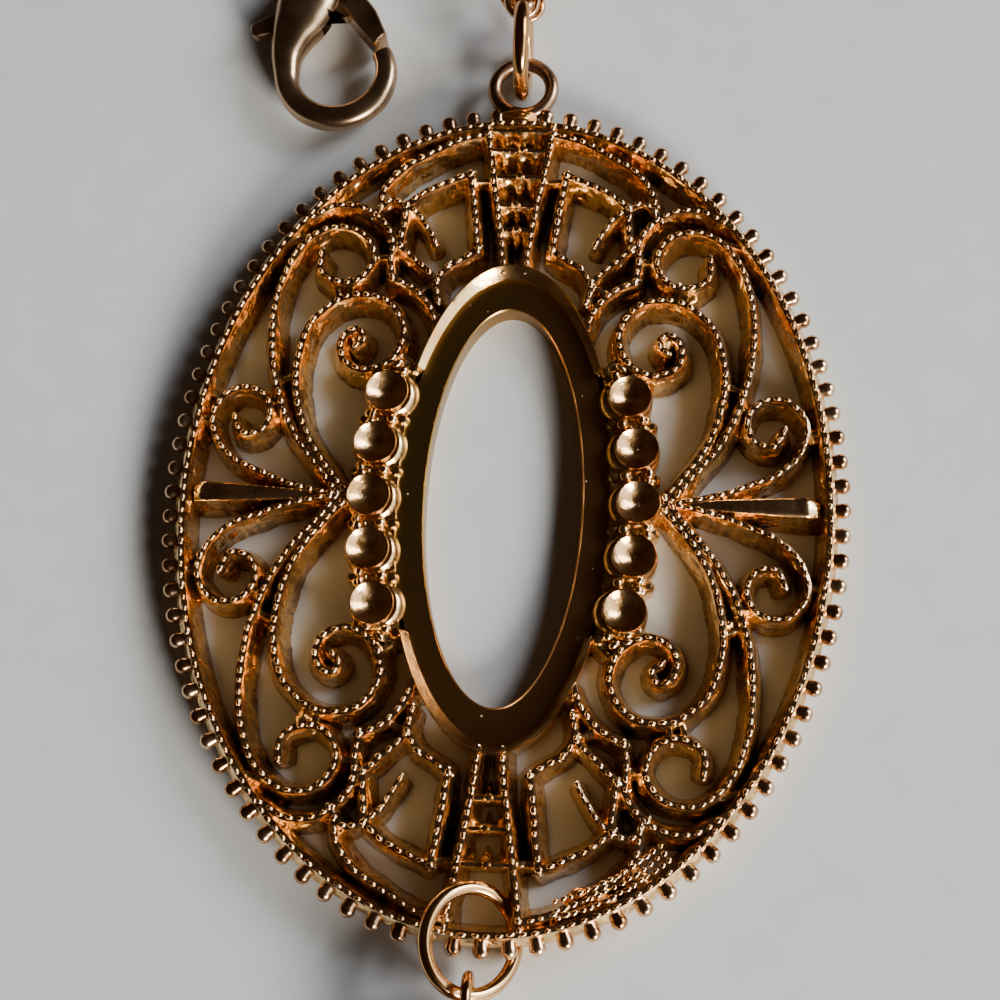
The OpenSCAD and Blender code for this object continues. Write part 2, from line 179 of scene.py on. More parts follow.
def dusty_ledge(name, olive, copper, dusty):
    """The bezel's ledge: the same plating, left dull where the stone sat, olive at the upper left and
    turning to a copper brown towards the right and the bottom, with grains of dust on it."""
    mat, tree, coord = start(name)
    blot = add(tree, "TexNoise", {"Scale": 350.0, "Detail": 4.0}, Vector=coord)
    split = add(tree, "SeparateXYZ", i0=coord)
    right = add(tree, "MapRange", {"From Min": -0.012, "From Max": 0.014, "To Max": 0.9},
                Value=split.outputs["X"])
    down = add(tree, "MapRange", {"From Min": -0.03, "From Max": -0.05, "To Max": 0.5},
               Value=split.outputs["Y"])
    copper_share = add(tree, "Math", {"operation": "ADD"}, i0=right, i1=down)
    share = add(tree, "Math", {"operation": "MULTIPLY_ADD", "use_clamp": True, 1: 0.7}, i0=blot, i2=copper_share)
    less = add(tree, "Math", {"operation": "SUBTRACT", "use_clamp": True, 1: 0.35}, i0=share)
    colour = add(tree, "Mix", {"data_type": "RGBA", 6: linear(olive), 7: linear(copper)}, i0=less)
    # dust grains up to 0.14 mm across, in patches, about one to each ten square millimetres
    cells = add(tree, "TexVoronoi", {"Scale": 1100.0, "Randomness": 1.0}, Vector=coord)
    near = add(tree, "Math", {"operation": "LESS_THAN", 1: 0.075}, i0=cells)
    patch = add(tree, "TexNoise", {"Scale": 260.0, "Detail": 2.0}, Vector=coord)
    some = add(tree, "Math", {"operation": "GREATER_THAN", 1: 0.5}, i0=patch)
    dust = add(tree, "Math", {"operation": "MULTIPLY"}, i0=near, i1=some)
    metal = add(tree, "BsdfPrincipled", {"Metallic": 1.0, "Roughness": 0.3}, Base_Color=colour.outputs[2])
    grain = add(tree, "BsdfPrincipled", {"Base Color": linear(dusty), "Roughness": 0.8})
    both = add(tree, "MixShader", i0=dust, i1=metal, i2=grain)
    add(tree, "OutputMaterial", Surface=both)
    return mat


def painted_board(name, dark, light):
    """Pale painted board: an even grey-white coat with a faint eggshell mottle, 3 mm across."""
    mat, tree, coord = start(name)
    mottle = add(tree, "TexNoise", {"Scale": 300.0, "Detail": 5.0}, Vector=coord)
    ramp = add(tree, "MapRange", {"From Min": 0.3, "From Max": 0.7}, Value=mottle)
    colour = add(tree, "Mix", {"data_type": "RGBA", 6: linear(dark), 7: linear(light)}, i0=ramp)
    bump = add(tree, "Bump", {"Strength": 0.3, "Distance": 0.00003}, Height=mottle)
    paint = add(tree, "BsdfPrincipled", {"Roughness": 0.6}, Base_Color=colour.outputs[2], Normal=bump)
    add(tree, "OutputMaterial", Surface=paint)
    return mat


# Plated casting, tumbled and polished on top only: bright edges over brown, uneven walls.
# Its dark brown is tarnish in patches, and painted shade at the walls' feet
CAST_GOLD = plated_casting("gold_plated_zinc_casting", "#FAD8A8", "#FFD084", "#68381C", 0.21, 0.0001,
                           0.00065)
# The same plating on small raised forms, which polishing reaches: pale glints with dark sides
BEAD_GOLD = wire_metal("gold_plated_milgrain", "#FADAAE", "#DCAA70", 0.21, 900.0, 0.00001)
CUP_GOLD = wire_metal("gold_plated_cups", "#EBBE84", "#C08A50", 0.2, 900.0, 0.00005)
BEZEL_GOLD = wire_metal("gold_plated_bezel", "#F4D294", "#D8A868", 0.2, 400.0, 0.00003)
PEG_GOLD = wire_metal("gold_plated_pegs", "#E6C49C", "#A8784E", 0.2, 600.0, 0.00002)
# Plating over bright drawn wire: a mirror-like line along each ring and link
RING_GOLD = wire_metal("gold_plated_brass_wire", "#DDB27C", "#BE8C55", 0.16, 250.0, 0.000006)
CHAIN_GOLD = wire_metal("gold_plated_chain_wire", "#EBC190", "#D8A06A", 0.18, 500.0, 0.000003)
# Plating rubbed thin on the bail: a pinker, duller metal
BAIL_GOLD = wire_metal("worn_plated_bail", "#C9A488", "#94704F", 0.26, 300.0, 0.00002)
# Antique bronze plating on the cast clasp: grey-brown, with broad soft highlights
CLASP_BRONZE = wire_metal("bronze_plated_clasp", "#CFAF8A", "#8A6C50", 0.25, 220.0, 0.00001)
# Solder under the plating, never filed: a warm, slightly rough lump
SOLDER = wire_metal("raw_solder_under_plating", "#F8C47C", "#E09C4C", 0.26, 900.0, 0.00003)
# Dull plating where the stone sat: olive, turning copper brown to the right and bottom, with pale dust
LEDGE = dusty_ledge("dusty_plated_ledge", "#8E7C42", "#B87848", "#B9A67C")
# Matt paint: an almost even pale grey
TABLE = painted_board("pale_painted_board", "#D0D3D2", "#D6D9D8")


# Shapes
# Faces that meet at less than this angle, in degrees, are shaded smooth: most pieces, bevel, beads and links
SHARP, BEVEL_SHARP, BEAD_SHARP = 38, 18, 80


def grid(rows, cols, wrap_rows=False, wrap_cols=True):
    """Four-sided faces of a grid of points, row by row: each joins a point, its neighbour along the row and
    the two in the next row. A wrapped side joins its last line to its first."""
    i = np.arange(rows if wrap_rows else rows - 1)[:, None]
    k = np.arange(cols if wrap_cols else cols - 1)[None, :]
    i2, k2 = (i + 1) % rows, (k + 1) % cols
    return np.stack([i * cols + k, i2 * cols + k, i2 * cols + k2, i * cols + k2], -1).reshape(-1, 4)


def join(parts):
    """One list of points and one of faces from several (points, faces) pairs."""
    offset, points, faces = 0, [], []
    for p, f in parts:
        points.append(p)
        faces.append(f + offset)
        offset += len(p)
    return np.vstack(points), np.vstack(faces)


def repeat(shape, places, turns=None, sizes=None):
    """Copies of one small shape: each is scaled, turned by its 3x3 matrix and moved to its place."""
    p, f = shape
    n = len(places)
    turns = np.broadcast_to(np.eye(3), (n, 3, 3)) if turns is None else turns
    sizes = np.ones((n, 3)) if sizes is None else np.asarray(sizes)
    points = np.einsum("nij,nkj->nki", turns, p[None] * sizes[:, None]) + np.asarray(places)[:, None]
    faces = f[None] + (np.arange(n) * len(p))[:, None, None]
    return points.reshape(-1, 3), faces.reshape(-1, 4)


def mirrored(part, x, y):
    """The part mirrored in x and y by signs, with its faces turned back outwards."""
    p, f = part
    return p * np.array([x, y, 1.0]), (f[:, ::-1] if x * y < 0 else f)


def four(part):
    """The part in all four quarters of the medallion."""
    return join([mirrored(part, x, y) for x in (1, -1) for y in (1, -1)])


def placed(part, turn=np.eye(3), at=(0, 0, 0)):
    """The part turned by a 3x3 matrix and then moved."""
    return part[0] @ turn.T + np.array(at, float), part[1]


def turned(axis, deg):
    """Matrix of a turn by degrees about one axis: the other two mix by the angle's cosine and sine."""
    first = "xyz".index(axis)
    i, k = (first + 1) % 3, (first + 2) % 3
    turn = np.eye(3)
    turn[i, i] = turn[k, k] = math.cos(math.radians(deg))
    turn[k, i] = math.sin(math.radians(deg))
    turn[i, k] = -turn[k, i]
    return turn


def closed_mesh(name, part):
    """Mesh in metres from millimetre points and faces. Poles and seams are closed by merging their doubled
    points, and faces are turned outwards."""
    p, f = part
    mesh = bpy.data.meshes.new(name)
    mesh.from_pydata((p + SEAT) * MM, [], f.tolist())
    b = bmesh.new()
    b.from_mesh(mesh)
    bmesh.ops.remove_doubles(b, verts=b.verts, dist=2e-7)
    bmesh.ops.dissolve_degenerate(b, edges=b.edges, dist=1e-7)
    bmesh.ops.recalc_face_normals(b, faces=b.faces)
    b.to_mesh(mesh)
    b.free()
    return mesh


def piece(name, part, material, replaces, body="necklace", sharp=SHARP):
    """Makes a mesh object of a part, gives it its finish, and rides it on its body."""
    mesh = closed_mesh(name, part)
    mesh.polygons.foreach_set("use_smooth", np.ones(len(mesh.polygons), bool))
    mesh.set_sharp_from_angle(angle=math.radians(sharp))
    mesh.materials.append(material)
    mesh.update()
    obj = show(name, mesh)
    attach(obj, body)
    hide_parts(*replaces)
    return obj


def cut(obj, *tools):
    """Takes the tools' shapes away from the piece for good."""
    for part in tools:
        mesh = closed_mesh("cutter", part)
        tool = show("cutter", mesh)
        boolean = obj.modifiers.new("cut", "BOOLEAN")
        boolean.object = tool
        boolean.solver = "EXACT"
        old = obj.data
        graph = bpy.context.evaluated_depsgraph_get()
        obj.data = bpy.data.meshes.new_from_object(obj.evaluated_get(graph))
        obj.modifiers.clear()
        obj.data.name = obj.name
        obj.data.set_sharp_from_angle(angle=math.radians(SHARP))
        bpy.data.meshes.remove(old)
        bpy.data.objects.remove(tool)
        bpy.data.meshes.remove(mesh)


def through(points, step):
    """Evenly spaced points of a smooth curve through the given ones: a cubic on each chord, whose slope at
    a point is the average of the two chords there, each weighted by the other's length."""
    p = np.asarray(points, float)
    h = np.linalg.norm(np.diff(p, axis=0), axis=1)
    d = np.diff(p, axis=0) / h[:, None]
    inner = (d[:-1] * h[1:, None] + d[1:] * h[:-1, None]) / (h[:-1] + h[1:])[:, None]
    m = np.vstack([d[:1], inner, d[-1:]])
    t = np.linspace(0, 1, 24, endpoint=False)[None, :, None]
    a, b = p[:-1, None], p[1:, None]
    ma, mb = m[:-1, None] * h[:, None, None], m[1:, None] * h[:, None, None]
    q = (2 * t**3 - 3 * t**2 + 1) * a + (t**3 - 2 * t**2 + t) * ma
    q = q + (3 * t**2 - 2 * t**3) * b + (t**3 - t**2) * mb
    return evenly(np.vstack([q.reshape(-1, p.shape[1]), p[-1:]]), step)


def evenly(line, step):
    """The same line with its points about one step apart."""
    s = np.concatenate([[0], np.cumsum(np.linalg.norm(np.diff(line, axis=0), axis=1))])
    u = np.linspace(0, s[-1], max(int(round(s[-1] / step)), 2) + 1)
    return np.stack([np.interp(u, s, line[:, i]) for i in range(line.shape[1])], 1)


def smoothed(noise):
    """Rows of noise, each averaged with its two neighbours on either side."""
    wide = np.vstack([noise[:1], noise[:1], noise, noise[-1:], noise[-1:]])
    return (wide[:-4] + wide[1:-3] + wide[2:-2] + wide[3:-1] + wide[4:]) / 5


def circle(radius, n, first=0.0, arc=360.0):
    """Points of a circle or of an arc of it in the plan, from the first angle, in degrees."""
    a = np.radians(first + (np.arange(n) * arc / n if arc == 360 else np.linspace(0, arc, n)))
    return radius * np.stack([np.cos(a), np.sin(a)], 1)


def on_oval(a, b, t):
    """Points of an oval with half axes a and b, at the angles t."""
    return np.stack([a * np.cos(t), b * np.sin(t)], 1)


def oval(a, b, n):
    """Points all round an oval, at n even steps of its angle."""
    return on_oval(a, b, 2 * math.pi * (np.arange(n) + 0.5) / n)


def outside(line, half_axes):
    """Whether each point lies outside the oval with these half axes."""
    return np.hypot(line[:, 0] / half_axes[0], line[:, 1] / half_axes[1]) > 1


def level(line, z):
    """The plan's points at one height."""
    return np.column_stack([line, np.full(len(line), z)])


def sides(line, closed=False):
    """Unit vectors in the plan, square to the line and on its left."""
    t = (np.roll(line, -1, 0) - np.roll(line, 1, 0)) if closed else np.gradient(line, axis=0)
    t = t / np.linalg.norm(t, axis=1)[:, None]
    return np.stack([-t[:, 1], t[:, 0]], 1)


def with_ends(line, side, degrees, first_reach, last_reach):
    """The line and its sides with a few points more past each end: a point lies the sine of its angle times
    the reach beyond the end. The cosines are how far the width shrinks there."""
    a = np.radians(degrees)[:, None]
    t = np.stack([side[:, 1], -side[:, 0]], 1)
    before = line[0] - t[0] * np.sin(a[::-1]) * first_reach
    after = line[-1] + t[-1] * np.sin(a) * last_reach
    side = np.vstack([np.repeat(side[:1], len(a), 0), side, np.repeat(side[-1:], len(a), 0)])
    return np.vstack([before, line, after]), side, np.cos(a[:, 0])


def shrunk_ends(width, shrink):
    """A row of widths with those of the added points at each end."""
    return np.concatenate([shrink[::-1] * width[0], width, shrink * width[-1]])


def wall(line, profile, width=None, closed=False):
    """A wall on the table along a line in the plan: each row of points is the profile's (offset, height)
    pairs, its offset scaled by the width there and laid off square to the line. An open end is rounded, and
    runs on by half its half width."""
    width = np.ones(len(line)) if width is None else np.asarray(width, float)
    side = sides(line, closed)
    if not closed:
        reach = np.abs(profile[:, 0]).max() * 0.5
        line, side, shrink = with_ends(line, side, [30, 55, 75, 90], reach * width[0], reach * width[-1])
        width = shrunk_ends(width, shrink)
    plan = line[:, None] + side[:, None] * profile[None, :, :1] * width[:, None, None]
    z = np.broadcast_to(profile[None, :, 1:], plan.shape[:2] + (1,))
    points = np.concatenate([plan, z], -1)
    return points.reshape(-1, 3), grid(len(line), len(profile), closed, True)[:, ::-1]


def sweep(line, width, height, corners=16, closed=False, power=2.0, dome=0.6):
    """Rounded sections square to a line in the plan and level with it, each a superellipse of the half
    width and half height there. An open end closes on a dome as long as its share of the half width."""
    width = np.broadcast_to(np.asarray(width, float), (len(line),))
    height = np.broadcast_to(np.asarray(height, float), (len(line),))
    side = sides(line, closed)
    if not closed:
        line, side, shrink = with_ends(line, side, [30, 60, 80, 90], width[0] * dome, width[-1] * dome)
        width = shrunk_ends(width, shrink)
        height = shrunk_ends(height, shrink)
    k = 2 * math.pi * np.arange(corners) / corners
    off = np.sign(np.cos(k)) * np.abs(np.cos(k)) ** (2 / power)
    up = np.sign(np.sin(k)) * np.abs(np.sin(k)) ** (2 / power)
    plan = line[:, None] + side[:, None] * off[None, :, None] * width[:, None, None]
    points = np.concatenate([plan, (up[None] * height[:, None])[..., None]], -1)
    return points.reshape(-1, 3), grid(len(line), corners, closed, True)


def hoop(radius, wire, turns=64, corners=16):
    """Closed ring of round wire, flat in the plan, by the radius to its middle and its thickness."""
    return sweep(circle(radius, turns), wire / 2, wire / 2, corners, closed=True)


def lathe(profile, turns=24):
    """The (radius, height) profile carried round the z axis."""
    ring = circle(1.0, turns)
    plan = profile[None, :, :1] * ring[:, None]
    points = np.concatenate([plan, np.broadcast_to(profile[None, :, 1:], (turns, len(profile), 1))], -1)
    return points.reshape(-1, 3), grid(turns, len(profile), True, False)


def capped(rings):
    """Solid from an array of rings of points, with each end closed on its ring's middle."""
    ends = [np.broadcast_to(ring.mean(1, keepdims=True), ring.shape) for ring in (rings[:1], rings[-1:])]
    rings = np.concatenate([ends[0], rings, ends[1]])
    return rings.reshape(-1, 3), grid(rings.shape[0], rings.shape[1], False, True)


def slab(outline, low, high, bevel):
    """Upright plate of a plan outline, whose end rings are moved to the outline's left by the bevel. They
    are drawn in where it turns anticlockwise, and flare where it turns clockwise."""
    p = np.asarray(outline, float)
    moved = p + sides(p, True) * bevel
    rings = [(moved, low), (p, low + bevel), (p, high - bevel), (moved, high)]
    return capped(np.stack([level(q, z) for q, z in rings]))


def lump(at, size, seed):
    """Uneven blob of solder: a ball whose radius ripples with three sine waves, squashed to its size."""
    rows, cols = 15, 28
    random = np.random.default_rng(seed)
    around = np.linspace(0, 2 * math.pi, cols, endpoint=False)
    u, v = np.meshgrid(around, np.linspace(0.001, math.pi - 0.001, rows))
    a, b, c = random.uniform(0, 6.28, 3)
    r = 1 + 0.09 * np.sin(3 * u + a) * np.sin(v) + 0.07 * np.sin(5 * v + b)
    r = r + 0.06 * np.sin(7 * u + 4 * v + c) * np.sin(v)
    ball = np.stack([r * np.sin(v) * np.cos(u), r * np.sin(v) * np.sin(u), r * np.cos(v)], -1)
    return ball.reshape(-1, 3) * size + at, grid(rows, cols, False, True)


# The medallion's chart, one quarter
# Columns: half width of the foot at the start, the same at the end, and the middle line's points.
STRIPS = [
    # ladder post beside the middle line
    (0.72, 0.7, [(2.3, 27.6), (2.05, 25.4), (1.7, 23.2), (1.3, 21), (1, 18.8), (0.75, 16.4)]),
    # second post of the fan
    (0.7, 0.7, [(3.4, 23.9), (3.1, 22), (2.85, 20), (2.6, 18.1)]),
    # its foot, which runs down to the bezel
    (0.7, 0.7, [(2.6, 18.1), (3.6, 17.4), (4.6, 16.8)]),
    (0.7, 0.7, [(4.6, 16.8), (5.3, 15.8), (5.1, 14.2)]),
    # arc that closes the fan at the top
    (0.7, 0.7, [(3.4, 23.9), (5, 23.2), (6.6, 22.4), (7.8, 21.4)]),
    # free strut with a round end
    (0.62, 0.5, [(7.8, 21.4), (6.9, 20.7), (6.3, 19.8), (5.6, 18.6)]),
    # third post of the fan and its foot
    (0.7, 0.7, [(7.8, 21.4), (7.85, 20), (8.05, 18.3)]),
    (0.7, 0.6, [(8.05, 18.3), (6.9, 17.2), (6.1, 16.5), (5.4, 15.8)]),
    # hook from the fan's corner to the outer arc
    (0.62, 0.62, [(7.8, 21.4), (8.8, 21.8), (9.6, 21.2), (10, 20.6)]),
    # arc beside the rim
    (0.7, 0.7, [(2.3, 27.1), (4.2, 26.6), (6.3, 25.5), (8.2, 24.2), (9.4, 22.7), (9.6, 21.2)]),
    # tail from the bezel up to the outer arc, which runs over to the rim
    (0.65, 0.75, [(5.1, 12.3), (5.6, 13.5), (6.6, 14.8), (8.4, 15.9)]),
    (0.65, 0.75, [(8.4, 15.9), (8.6, 17.2), (8.6, 18.8), (9.4, 20.2), (11, 21.2), (12.8, 21.3),
                  (14.4, 20.4)]),
    # long outer scroll, from the side junction to the end of its curl
    (0.72, 0.7, [(10.7, -0.4), (12.3, 1.7), (13.9, 3.6), (15.3, 6.2), (16.2, 9.2), (16.5, 12.5),
                 (16.1, 15.5), (14.9, 18.2), (12.9, 19.6), (10.8, 19.2), (9.8, 17.4), (10.6, 15.8),
                 (12.4, 15.5), (13.5, 16.3), (13.5, 17.6)]),
    # inner scroll, from the side junction to its eye
    (0.72, 0.74, [(10.2, 0), (11.5, 1.4), (13.1, 3.6), (14.3, 6.6), (14.5, 10), (13.3, 13.1),
                  (11, 14.5), (8.6, 14), (7.35, 11.6), (8.3, 9.6), (10.2, 9), (11.5, 9.9),
                  (11.5, 11.4), (10.6, 12), (10.1, 11.2), (10.6, 10.7)]),
    # side scroll, which leaves along the spike and curls beside the rim
    (0.55, 0.64, [(11.6, 0.1), (13.5, 0.5), (16, 1.35), (18.4, 2.5), (19.8, 4.2), (19.9, 6),
                  (18.7, 7.4), (16.9, 7.2), (16.05, 5.8), (16.7, 4.4), (17.9, 4.2), (18.5, 5.3)]),
]
# Short plain bars between strips. Columns: start, end.
TIES = [((7.9, 18.7), (8.7, 18.7)), ((8.7, 17.5), (9.8, 17.5)), ((11.2, 14.4), (11.4, 15.7)),
        ((12, 14.2), (12.4, 15.5)), ((14.6, 8.6), (15.9, 8)), ((15.4, 6.6), (16.3, 6.8)),
        ((7.6, 10.5), (6.2, 9.2)), ((9.2, 9.2), (9.2, 8.2)), ((5.8, 15.4), (6.8, 14.9)),
        ((4.6, 13), (5.4, 13.2)), ((20.2, 5.2), (21.2, 5.4)), ((14.6, 19), (15.8, 18.6)),
        ((1.9, 23.5), (3.3, 23.6))]
# The ladder's cross bars. Columns: y of its top, x of its bead. One more, without a bead, is under the rim.
BARS = [(25.8, 0.2), (23.7, 0.1), (21.5, -0.1), (19.6, 0.05)]
RIM_BAR = 27.35
# Small domed prongs between the cups and beside the bezel. Columns: x, y, radius, height.
PRONGS = [(8.05, 1.84, 0.4, 2.6), (7.75, 5.45, 0.4, 2.6), (7.2, 9.0, 0.36, 2.5), (9.7, 2.2, 0.34, 2.3),
          (9.75, 1.55, 0.34, 2.3), (9.35, 5.9, 0.34, 2.3), (9.3, 5.2, 0.34, 2.3), (9.2, 1.85, 0.3, 2.1),
          (8.9, 5.5, 0.3, 2.1)]
# Solder left on joints, the real necklace's own and not mirrored. Columns: place, half sizes.
SOLDER_AT = [((12, 14.8, 1.7), (0.75, 0.55, 0.6)), ((9.5, 21.6, 1.7), (0.6, 0.5, 0.6)),
             ((6.6, -25.6, 1.7), (1.7, 0.75, 0.58)), ((9.2, -24.1, 1.7), (1.2, 0.7, 0.55)),
             ((-9.4, 21.5, 1.6), (0.6, 0.45, 0.6)), ((14.9, -7.9, 1.5), (0.6, 0.5, 0.7)),
             ((-12.1, -14.9, 1.6), (0.6, 0.5, 0.6)), ((20.3, 5.1, 1.4), (0.5, 0.5, 0.6)),
             ((-0.2, 28.7, 1.8), (1.5, 0.55, 0.62)), ((10.4, 11.3, 1.7), (0.6, 0.6, 0.75)),
             ((-10.4, 11.3, 1.7), (0.6, 0.6, 0.75))]
# Cups on one side, counted from the middle. Columns: x, y.
CUPS = [(8.95, 0), (8.76, 3.68), (8.2, 7.36)]

# Half axes of ovals round the medallion's middle: the rim's bead line, the middle of the bezel's wall, its
# ledge, the hole, and where the strips and their beads end
RIM_A, RIM_B = 21.5, 28.0
BEZEL_A, BEZEL_B = 7.22, 16.48
LEDGE_OVAL, HOLE_OVAL = (7.14, 16.3), (5.25, 13.8)
STRIPS_STOP, BEADS_STOP = (7.2, 16.6), (7.7, 17.1)
# Heights: the ledge, the beads' middles on the strips and the rim, and the pegs' and the bail's middles
LEDGE_Z, STRIP_BEAD_Z, RIM_BEAD_Z, PEG_Z = 1.7, 2.36, 2.38, 1.75
# Number of pegs, and the correction of their angles in degrees
PEGS, PEG_EVEN = 92, 3.76

# Cross-section of a strip for a half foot of 1: drafted walls up to a narrow land. Columns: offset, height.
STRIP_WALL = np.array([(-1.07, 0), (-1.1, 0.12), (-0.62, 1.6), (-0.42, 2.15), (-0.3, 2.32), (0, 2.38),
                       (0.3, 2.32), (0.42, 2.15), (0.62, 1.6), (1.1, 0.12), (1.07, 0), (0, 0)])
# Cross-section of the rim: a land for the beads, and a slope outside it. Columns: the same.
RIM_WALL = np.array([(-0.74, 0), (-0.76, 0.12), (-0.42, 1.8), (-0.3, 2.24), (-0.25, 2.35), (0.14, 2.36),
                     (0.24, 2.26), (0.36, 2.05), (0.54, 1.75), (0.62, 1.4), (0.66, 0.1), (0.6, 0), (0, 0)])
# A bead with a half size of 1. Columns: radius, height.
BEAD = lathe(np.array([(0, 1), (0.45, 0.86), (0.8, 0.55), (0.98, 0.1), (0.9, -0.4), (0, -0.6)]), 9)


def openwork(random):
    """All strips and ties: each strip is the strip's section carried along its line, narrowing evenly from
    start to end, with the small unevenness of a casting in its line and its width. They end inside the
    bezel's wall. A tie is the same section, lower and 0.5 mm in half foot."""
    parts = []
    for w0, w1, points in STRIPS:
        line = through(points, 0.25)
        line = line + smoothed(random.normal(0, 0.06, (len(line), 2)))
        uneven = 1 + smoothed(random.normal(0, 0.1, (len(line), 1)))[:, 0]
        width = np.linspace(w0, w1, len(line)) * uneven
        clear = outside(line, STRIPS_STOP)
        parts.append(wall(line[clear], STRIP_WALL, width[clear]))
    low = STRIP_WALL * [1, 0.86]
    for ends in TIES:
        line = evenly(np.array(ends, float), 0.4)
        parts.append(wall(line, low, np.full(len(line), 0.5)))
    return four(join(parts))


def milgrain(rows, random, size=1.0):
    """Beads at the points of each row, drawn out a little along it: 0.27 mm by 0.17 mm in half sizes, each
    with its own small error of place, angle and size."""
    t = np.vstack([np.gradient(line, axis=0) for line in rows])
    places = np.vstack(rows) + random.normal(0, 0.03, t.shape) * [1, 1, 0.5]
    a = np.arctan2(t[:, 1], t[:, 0]) + random.normal(0, 0.15, len(t))
    c, s, o = np.cos(a), np.sin(a), np.zeros(len(a))
    turns = np.stack([np.stack([c, -s, o], 1), np.stack([s, c, o], 1), np.stack([o, o, o + 1], 1)], 1)
    sizes = np.array([0.27, 0.17, 0.15]) * size * random.normal(1, 0.12, (len(a), 3))
    return repeat(BEAD, places, turns, sizes)


def strip_rows():
    """Bead places on the strips' lands, 0.7 mm apart, in all four quarters. None stand on the bezel."""
    rows = [level(through(points, 0.7), STRIP_BEAD_Z) for _, _, points in STRIPS]
    rows = [row[outside(row, BEADS_STOP)] for row in rows]
    return [row * [x, y, 1] for row in rows for x in (1, -1) for y in (1, -1)]


def rim():
    """The rim's section carried round the oval, with its offsets outwards. Four points to a peg."""
    line = oval(RIM_A, RIM_B, 4 * PEGS)[::-1]
    return wall(line, RIM_WALL, closed=True)


def rim_row():
    """Bead places on the rim's land, 0.76 mm apart."""
    ring = oval(RIM_A, RIM_B, 720)
    return level(evenly(np.vstack([ring, ring[:1]]), 0.76)[:-1], RIM_BEAD_Z)


def flooded_rows():
    """Three short rows of beads inside the rim at the lower right, where the casting flooded."""
    t = np.radians(np.linspace(-77, -57, 60))
    return [level(evenly(on_oval(RIM_A - d, RIM_B - d, t), 0.52), 2.34) for d in (0.6, 1.1, 1.6)]


def cup_web():
    """Plate under the cups on each side, from the bezel out to the bead pairs: its middle line and its
    width follow the cups' bow, a parabola in y."""
    y = np.linspace(-9.4, 9.4, 41)
    line = np.column_stack([8.3 - 0.0148 * y ** 2, y])
    flat = np.array([(-1, 0.05), (-1, 1.9), (-0.94, 2.0), (0.94, 2.0), (1, 1.9), (1, 0.05)])
    return join([wall(line * [s, 1], flat, 1.25 - 0.006 * y ** 2) for s in (1, -1)])


def cup_rows():
    """Coarser beads in pairs outside the gaps between the cups."""
    at = np.array([(9.55, 1.55), (9.6, 2.15), (9.2, 5.2), (9.1, 5.85), (8.55, 8.75), (7.6, 9.5)])
    at = np.vstack([at * [s, k] for s in (1, -1) for k in (1, -1)])
    return [level(at[k:k + 2], 2.25) for k in range(0, len(at), 2)]


def pegs():
    """Bullets round the rim, evenly spaced along it and each lying square to it: a lathe profile with a
    domed end. The correction of the angle makes equal steps along the oval."""
    even = 2 * math.pi * np.arange(PEGS) / PEGS
    t = even - math.radians(PEG_EVEN) * np.sin(2 * even)
    place = level(on_oval(RIM_A, RIM_B, t), PEG_Z)
    turn = np.arctan2(RIM_A * np.sin(t), RIM_B * np.cos(t))
    c, s, o = np.cos(turn), np.sin(turn), np.zeros(PEGS)
    # local z to outwards, local x to up
    mats = np.stack([np.stack([o, s, c], 1), np.stack([o, -c, s], 1), np.stack([o + 1, o, o], 1)], 1)
    profile = np.array([(0, 0), (0.46, 0.02), (0.46, 0.5), (0.52, 0.72), (0.55, 0.9), (0.51, 1.1),
                        (0.37, 1.27), (0.18, 1.37), (0, 1.4)])
    return repeat(lathe(profile[::-1], 16), place, mats)


def bezel_end(slope):
    """One end of the bezel's wall, upright outside, with a bevel that falls inwards, 0.7 mm wide at the end
    of the oval. The profile is in half widths of the wall, and the bevel's foot is lower by the slope times
    the bevel's width."""
    profile = np.array([(1, 0.02), (0.97, 2.35), (0.92, 2.52), (0.84, 2.6), (0.74, 2.6), (0.64, 2.54),
                        (-0.9, 2.54), (-1, 2.44), (-1, 0.02)])
    t = np.radians(np.linspace(146, 34, 120))
    line = on_oval(BEZEL_A, BEZEL_B, t)
    half = 0.2 + 0.24 * (line[:, 1] / BEZEL_B) ** 2
    points, faces = wall(line, profile, half)
    bevel = (profile[5, 0] - profile[6, 0]) * half
    rows = points.reshape(-1, len(profile), 3)
    added = (len(rows) - len(line)) // 2
    rows[:, 6:8, 2] -= slope * np.pad(bevel, added, mode="edge")[:, None]
    return points, faces


def bezel():
    """Wall round both ends of the stone's seat, as far as the cups. Its bevel is flatter at the top end."""
    return join([bezel_end(0.85), mirrored(bezel_end(1.25), 1, -1)])


def ledge():
    """Flat oval ledge inside the bezel, with a hole whose edge is slightly raised."""
    n = 240
    outer, inner = oval(*LEDGE_OVAL, n), oval(*HOLE_OVAL, n)
    step = inner + (outer - inner) / np.linalg.norm(outer - inner, axis=1)[:, None] * 0.14
    crest = inner * 0.4 + step * 0.6
    rings = [(inner, 0.0), (inner, LEDGE_Z - 0.03), (crest, LEDGE_Z + 0.05), (step, LEDGE_Z),
             (outer, LEDGE_Z), (outer, 0.0)]
    points = np.stack([level(p, z) for p, z in rings], 1)
    return points.reshape(-1, 3), grid(n, len(rings), True, True)


def both_sides(rows):
    """Table rows that start with x and y, mirrored to the four quarters. A row at y 0 has only two."""
    return np.array([(s * x, k * y, *more) for x, y, *more in rows
                     for s in (1, -1) for k in ((1, -1) if y else (1,))], float)


def cups():
    """Round cups: a lathe profile with a thin rim and a dish in the top."""
    a = np.linspace(0, 1, 9)
    dish = np.stack([1.34 * (1 - a), 2.72 - 0.76 * (1 - (1 - a) ** 1.5)], 1)
    side = [(0, 0), (1.44, 0), (1.48, 0.3), (1.5, 2.5), (1.48, 2.68), (1.43, 2.75), (1.37, 2.75)]
    return repeat(lathe(np.vstack([side, dish]), 36), level(both_sides(CUPS), 0))


